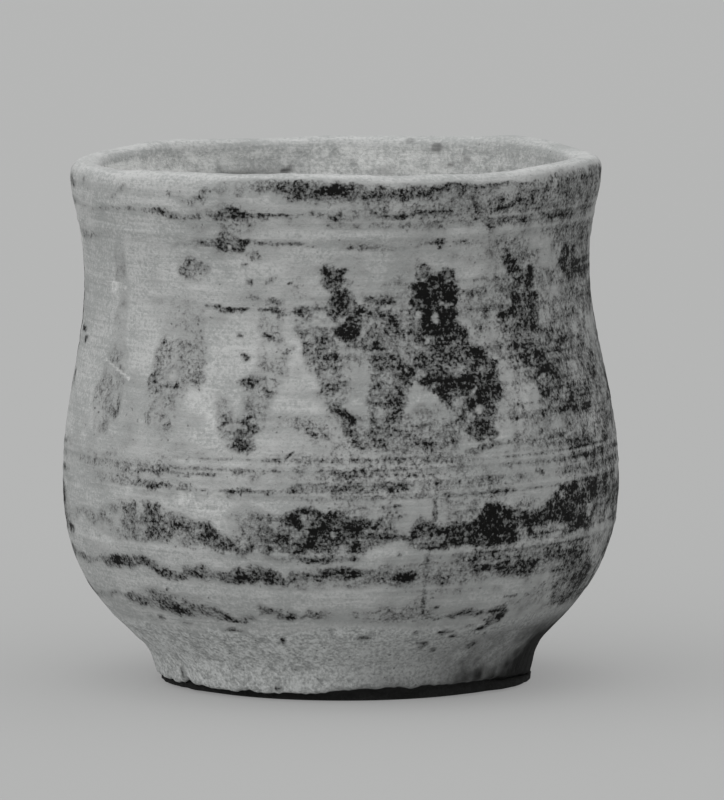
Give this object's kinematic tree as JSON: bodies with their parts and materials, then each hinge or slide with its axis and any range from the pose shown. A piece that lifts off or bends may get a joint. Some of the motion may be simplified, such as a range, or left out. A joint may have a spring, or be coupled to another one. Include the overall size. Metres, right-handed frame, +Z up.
{
  "type": "painted pottery vessel",
  "caption": "Small wheel-made pottery beaker with a flared foot, round belly, everted rim and thick lip, in pale slip with worn dark bands and a zigzag frieze.",
  "frame": {"origin": "middle of the flat ring on which the vessel rests", "axes": "+Z up along the axis on which the vessel was turned, -Y towards the side that the picture shows, +X to its right"},
  "size_m": [0.1078, 0.1079, 0.1008],
  "materials": {
    "bare_clay": "matte",
    "slipped_clay": "matte",
    "dark_paint": "matte"
  },
  "bodies": {
    "root": {"foot": "bare_clay", "lower_bowl": "slipped_clay", "upper_wall": "slipped_clay", "rim": "slipped_clay", "rim_upper_line": "dark_paint", "rim_lower_line": "dark_paint", "neck_line": "dark_paint", "belly_line_1": "dark_paint", "belly_line_2": "dark_paint", "belly_line_3": "dark_paint", "broad_band": "dark_paint", "medium_band": "dark_paint", "lower_line": "dark_paint", "zigzag_stroke_01": "dark_paint", "zigzag_stroke_02": "dark_paint", "zigzag_stroke_03": "dark_paint", "zigzag_stroke_04": "dark_paint", "zigzag_stroke_05": "dark_paint", "zigzag_stroke_06": "dark_paint", "zigzag_stroke_07": "dark_paint", "zigzag_stroke_08": "dark_paint", "zigzag_stroke_09": "dark_paint", "zigzag_stroke_10": "dark_paint", "zigzag_stroke_11": "dark_paint", "zigzag_stroke_12": "dark_paint", "zigzag_stroke_13": "dark_paint", "zigzag_stroke_14": "dark_paint", "zigzag_stroke_15": "dark_paint", "zigzag_stroke_16": "dark_paint", "zigzag_stroke_17": "dark_paint", "zigzag_stroke_18": "dark_paint", "zigzag_stroke_19": "dark_paint", "zigzag_stroke_20": "dark_paint", "zigzag_stroke_21": "dark_paint", "zigzag_stroke_22": "dark_paint", "zigzag_stroke_23": "dark_paint", "zigzag_stroke_24": "dark_paint", "zigzag_stroke_25": "dark_paint", "zigzag_stroke_26": "dark_paint", "zigzag_stroke_27": "dark_paint", "zigzag_stroke_28": "dark_paint"}
  },
  "joints": []
}
